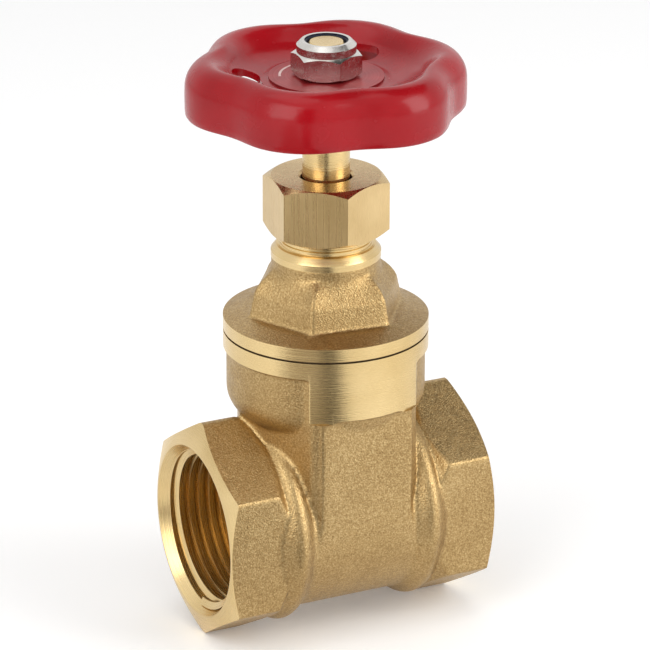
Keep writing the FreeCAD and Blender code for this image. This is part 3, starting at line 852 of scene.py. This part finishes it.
def rim_round(outline_r, inset, step):
    """Point on the rim's rounding, or on the same rounding set in by the sheet."""
    angle = math.radians(90 - 90 * step / RIM_STEPS)
    return (
        outline_r - RIM_IN + (RIM_IN - inset) * math.cos(angle),
        WHEEL_HIGH - RIM_DOWN + (RIM_DOWN - inset) * math.sin(angle),
    )


def wheel_section(outline_r):
    """Outer face of the sheet from the hub to the lower edge: (radius, height) points."""
    points = [(0, HUB_TOP), (12.2, HUB_TOP), (12.9, HUB_TOP - 0.15), (13.6, HUB_TOP - 0.1)]
    points += [(16.0, HUB_TOP + 0.45), (DISH_R, HUB_TOP + DISH_RISE)]
    climb = WHEEL_HIGH - HUB_TOP - DISH_RISE
    width = outline_r - RIM_IN - DISH_R
    for k in range(1, DISH_STEPS + 1):
        share = k / DISH_STEPS
        points.append((
            DISH_R + width * share, HUB_TOP + DISH_RISE + climb * (1.45 * share - 0.45 * share ** 3),
        ))
    points += [rim_round(outline_r, 0.0, k) for k in range(1, RIM_STEPS + 1)]
    points += [
        (outline_r + 0.05, WHEEL_HIGH - RIM_STRAIGHT), (outline_r, WHEEL_LOW + 1.6),
        (outline_r - 0.1, WHEEL_LOW + 0.5), (outline_r - 0.45, WHEEL_LOW),
    ]
    return points


def wheel_inner(outline_r):
    """Inner face of the sheet, from the lower edge back up to the hub."""
    inner_r = outline_r - SHEET
    points = [
        (inner_r + 0.35, WHEEL_LOW), (inner_r, WHEEL_LOW + 0.5), (inner_r, WHEEL_HIGH - RIM_STRAIGHT),
    ]
    points += [rim_round(outline_r, SHEET, k) for k in range(RIM_STEPS, -1, -3)]
    under = HUB_TOP - SHEET
    points += [(DISH_R + 0.4, under + DISH_RISE + 0.1), (13.6, under - 0.15), (0, under)]
    return points


def wheel_skin():
    """The pressed sheet as one closed polar mesh."""
    count = WHEEL_STEPS
    rings = []
    for k in range(count):
        angle = 2 * math.pi * k / count
        outline_r = wheel_outline(angle)
        rings.append([
            (r * math.cos(angle), r * math.sin(angle), z)
            for r, z in wheel_section(outline_r) + wheel_inner(outline_r)
        ])
    inner = [ring[1:-1] for ring in rings]
    across = len(inner[0])
    points = [point for ring in inner for point in ring] + [(0, 0, HUB_TOP), (0, 0, HUB_TOP - SHEET)]
    faces = []
    for k in range(count):
        here = k * across
        after = (k + 1) % count * across
        for j in range(across - 1):
            faces.append((here + j, here + j + 1, after + j + 1, after + j))
        faces.append((here, after, count * across))
        faces.append((here + across - 1, count * across + 1, after + across - 1))
    return solid("pressed_wheel", points, faces)


def slot_cutter():
    """Kidney about the X direction: an outer arc, an inner arc and two rounded ends."""
    middle = (SLOT_INNER_R + SLOT_OUTER_R) / 2
    half = (SLOT_OUTER_R - SLOT_INNER_R) / 2
    end = math.radians(SLOT_SPAN / 2) - half / middle * 0.72
    steps = 24
    round_steps = 12
    points = []
    for way, edge_r in ((1, SLOT_OUTER_R), (-1, SLOT_INNER_R)):
        for k in range(steps + 1):
            angle = way * (2 * end * k / steps - end)
            points.append((edge_r * math.cos(angle), edge_r * math.sin(angle)))
        for k in range(1, round_steps):
            turn = math.pi * k / round_steps
            radial = middle + way * half * math.cos(turn)
            bulge = half * math.sin(turn)
            points.append((
                radial * math.cos(end) - bulge * math.sin(end),
                way * (radial * math.sin(end) + bulge * math.cos(end)),
            ))
    return prism("slot", points, HUB_TOP - 6, WHEEL_HIGH + 2)


def handwheel():
    wheel = wheel_skin()
    for k in range(SLOTS):
        cutter = slot_cutter()
        cutter.data.transform(Matrix.Rotation(math.radians(WHEEL_PHASE + 360 / SLOTS * k), 4, "Z"))
        combine(wheel, cutter, "DIFFERENCE")
    hole = block(
        "square", (-SQUARE_HALF, -SQUARE_HALF, HUB_TOP - 6), (SQUARE_HALF, SQUARE_HALF, HUB_TOP + 2)
    )
    combine(wheel, hole, "DIFFERENCE")
    return finished(wheel, (ENAMEL,), one_finish, ["handwheel"], "spindle", MADE_SHARP)


# ------------------------------------------------------------------ plate marks
def arrows():
    """Plain turning marks printed on the plate: two curved arrows whose heads meet."""
    inner_r, outer_r = 9.15, 9.65
    middle = (inner_r + outer_r) / 2
    barb = 0.5
    sunk, depth = 0.02, 0.04
    steps = 14
    marks = []
    for start, sweep in ((20, 62), (160, -62)):
        angles = [math.radians(start + sweep * k / steps) for k in range(steps + 1)]
        last = angles[-1]
        tip = last + math.copysign(math.radians(9), sweep)
        outline = [(outer_r * math.cos(a), outer_r * math.sin(a)) for a in angles]
        head = ((outer_r + barb, last), (middle, tip), (inner_r - barb, last))
        outline += [(r * math.cos(a), r * math.sin(a)) for r, a in head]
        outline += [(inner_r * math.cos(a), inner_r * math.sin(a)) for a in reversed(angles)]
        marks.append(prism("arrow", outline, PLATE_TOP - sunk, PLATE_TOP + depth))
    printed = together(marks[0], marks[1:])
    printed.name = "plate_arrows"
    return finished(printed, (PRINT,), one_finish, [], "spindle", MADE_SHARP)


valve_body()
bonnet()
handwheel()
arrows()

# ------------------------------------------------------------------ CAD nodes and their finishes
FINISHES = {
    "valve_body": (FORGED, "forged_brass"),
    "bonnet": (FORGED, "forged_brass"),
    "gate_wedge": (TURNED_Z, "machined_brass"),
    "stem": (TURNED_Z, "machined_brass"),
    "bonnet_gasket": (FIBRE, "fibre_gasket"),
    "stem_retaining_ring": (SPRING, "spring_steel"),
    "lower_thrust_washer": (SEAL, "seal_white"),
    "upper_thrust_washer": (SEAL, "seal_white"),
    "packing_seat_washer": (TURNED_Z, "machined_brass"),
    "packing_ring_1": (GRAPHITE, "packing_graphite"),
    "packing_ring_2": (GRAPHITE, "packing_graphite"),
    "packing_ring_3": (GRAPHITE, "packing_graphite"),
    "gland_follower": (TURNED_Z, "machined_brass"),
    "gland_nut": (BRUSHED, "machined_brass"),
    "handwheel": (ENAMEL, "red_enamel"),
    "id_plate": (PLATE, "red_plate"),
    "lock_nut": (STEEL, "bright_steel"),
    "lock_nut_insert": (INSERT, "blue_insert"),
}

for node_name, (material, slot_name) in FINISHES.items():
    piece = nodes[node_name]
    piece.data.materials.clear()
    piece.data.materials.append(material)


def soft_edges(node_name, width):
    """Breaks the sharp machined edges of a carried-over node."""
    bevel = nodes[node_name].modifiers.new("edges", "BEVEL")
    bevel.width = width * MM
    bevel.segments = 2
    bevel.limit_method = "ANGLE"
    bevel.angle_limit = math.radians(28)
    bevel.use_clamp_overlap = True
    bevel.harden_normals = False


for machined in ("gland_nut", "lock_nut", "id_plate"):
    soft_edges(machined, 0.12)


# ------------------------------------------------------------------ studio
CAMERA_AZIMUTH = math.radians(-26.253)
CAMERA_ELEVATION = math.radians(21.41)
CAMERA_DISTANCE = 839.17 * MM
CAMERA_SIDE = -0.15 * MM
CAMERA_ROLL = math.radians(0.14)


def panel(name, centre, towards, width, height, power):
    light = bpy.data.lights.new(name, "AREA")
    light.shape = "RECTANGLE"
    light.size = width
    light.size_y = height
    light.energy = power
    lamp = bpy.data.objects.new(name, light)
    bpy.context.scene.collection.objects.link(lamp)
    lamp.location = centre
    lamp.rotation_euler = (towards - centre).to_track_quat("-Z", "Y").to_euler()
    return lamp


def seen_rays(tree):
    """1 where the background is seen directly, in metal or through glass, and 0 elsewhere."""
    paths = tree.nodes.new("ShaderNodeLightPath")
    seen = paths.outputs["Is Camera Ray"]
    for ray in ("Is Glossy Ray", "Is Transmission Ray"):
        either = tree.nodes.new("ShaderNodeMath")
        either.operation = "MAXIMUM"
        tree.links.new(seen, either.inputs[0])
        tree.links.new(paths.outputs[ray], either.inputs[1])
        seen = either.outputs[0]
    return seen


def studio_floor():
    bpy.ops.mesh.primitive_plane_add(size=8, location=(AXIS_X, 0, FLOOR_Z - 0.0001))
    floor = bpy.context.object
    floor.name = "studio_floor"
    material = bpy.data.materials.new("pale floor")
    material.use_nodes = True
    shader = material.node_tree.nodes["Principled BSDF"]
    shader.inputs["Base Color"].default_value = (0.97, 0.97, 0.97, 1)
    shader.inputs["Roughness"].default_value = 0.85
    shader.inputs["Emission Color"].default_value = (1, 1, 1, 1)
    lift = material.node_tree.nodes.new("ShaderNodeMath")
    lift.operation = "MULTIPLY"
    lift.inputs[1].default_value = 0.09
    material.node_tree.links.new(seen_rays(material.node_tree), lift.inputs[0])
    material.node_tree.links.new(lift.outputs[0], shader.inputs["Emission Strength"])
    floor.data.materials.append(material)


def studio_world():
    world = bpy.data.worlds.new("studio")
    bpy.context.scene.world = world
    world.use_nodes = True
    tree = world.node_tree
    background = tree.nodes["Background"]
    seen = seen_rays(tree)
    level = tree.nodes.new("ShaderNodeMapRange")
    level.inputs["To Min"].default_value = 0.55
    level.inputs["To Max"].default_value = 1.0
    tree.links.new(seen, level.inputs["Value"])
    background.inputs["Color"].default_value = (1, 1, 1, 1)
    tree.links.new(level.outputs[0], background.inputs["Strength"])


def dark_card(name, centre, towards, width, height, turn=0.0, shade=0.02):
    """Black board that only shows as a dark shape in the bright metal."""
    mesh = bpy.data.meshes.new(name)
    corners = [(-width / 2, -height / 2, 0), (width / 2, -height / 2, 0),
               (width / 2, height / 2, 0), (-width / 2, height / 2, 0)]
    mesh.from_pydata(corners, [], [(0, 1, 2, 3)])
    card = bpy.data.objects.new(name, mesh)
    bpy.context.scene.collection.objects.link(card)
    card.matrix_world = (
        Matrix.Translation(centre) @ (towards - centre).to_track_quat("Z", "Y").to_matrix().to_4x4()
        @ Matrix.Rotation(turn, 4, "Z")
    )
    material = bpy.data.materials.new(name)
    material.use_nodes = True
    shader = material.node_tree.nodes["Principled BSDF"]
    shader.inputs["Base Color"].default_value = (shade, shade * 0.9, shade * 0.8, 1)
    shader.inputs["Roughness"].default_value = 0.9
    mesh.materials.append(material)
    card.visible_camera = False
    card.visible_shadow = False
    card.visible_diffuse = False


AIM = Vector((AXIS_X, 0, 0.0404))
FRONT = Vector((math.sin(CAMERA_AZIMUTH), -math.cos(CAMERA_AZIMUTH), 0))
dark_card("front card", AIM + FRONT * 0.6 + Vector((0, 0, 0.16)), AIM, 0.26, 0.75)
floor_card = Vector((AXIS_X, 0, FLOOR_Z + 0.0005)) + FRONT * 0.29
dark_card("floor card", floor_card, floor_card + Vector((0, 0, 1)), 0.09, 0.46, CAMERA_AZIMUTH)
SIDEWAYS = CAMERA_AZIMUTH + math.radians(-24)
beside = Vector((AXIS_X, 0, FLOOR_Z + 0.0007)) + Vector((math.sin(SIDEWAYS), -math.cos(SIDEWAYS), 0)) * 0.30
dark_card("grey card", beside, beside + Vector((0, 0, 1)), 0.13, 0.40, SIDEWAYS, 0.34)
dark_card("ceiling card", AIM + Vector((0.30, 0.05, 0.62)), AIM, 0.5, 0.5)
studio_floor()
studio_world()
panel("left softbox", AIM + Vector((-0.75, -0.35, 0.45)), AIM, 0.7, 0.9, 5.0)
panel("right softbox", AIM + Vector((0.65, -0.65, 0.40)), AIM, 0.6, 0.9, 6.0)
panel("top softbox", AIM + Vector((0.0, 0.1, 0.9)), AIM, 0.8, 0.8, 1.5)

# ------------------------------------------------------------------ camera


def make_camera():
    data = bpy.data.cameras.new("camera")
    data.sensor_width = 36.0
    data.lens = 226.0
    camera = bpy.data.objects.new("camera", data)
    bpy.context.scene.collection.objects.link(camera)
    back = Vector((
        math.sin(CAMERA_AZIMUTH) * math.cos(CAMERA_ELEVATION),
        -math.cos(CAMERA_AZIMUTH) * math.cos(CAMERA_ELEVATION),
        math.sin(CAMERA_ELEVATION),
    ))
    side = Vector((math.cos(CAMERA_AZIMUTH), math.sin(CAMERA_AZIMUTH), 0))
    target = Vector((AXIS_X, 0, 40.36 * MM)) + side * CAMERA_SIDE
    turn = (-back).to_track_quat("-Z", "Y").to_matrix().to_4x4() @ Matrix.Rotation(CAMERA_ROLL, 4, "Z")
    camera.matrix_world = Matrix.Translation(target + back * CAMERA_DISTANCE) @ turn
    data.clip_start = 0.05
    data.clip_end = 20
    bpy.context.scene.camera = camera


make_camera()
bpy.context.scene.view_settings.view_transform = "Standard"
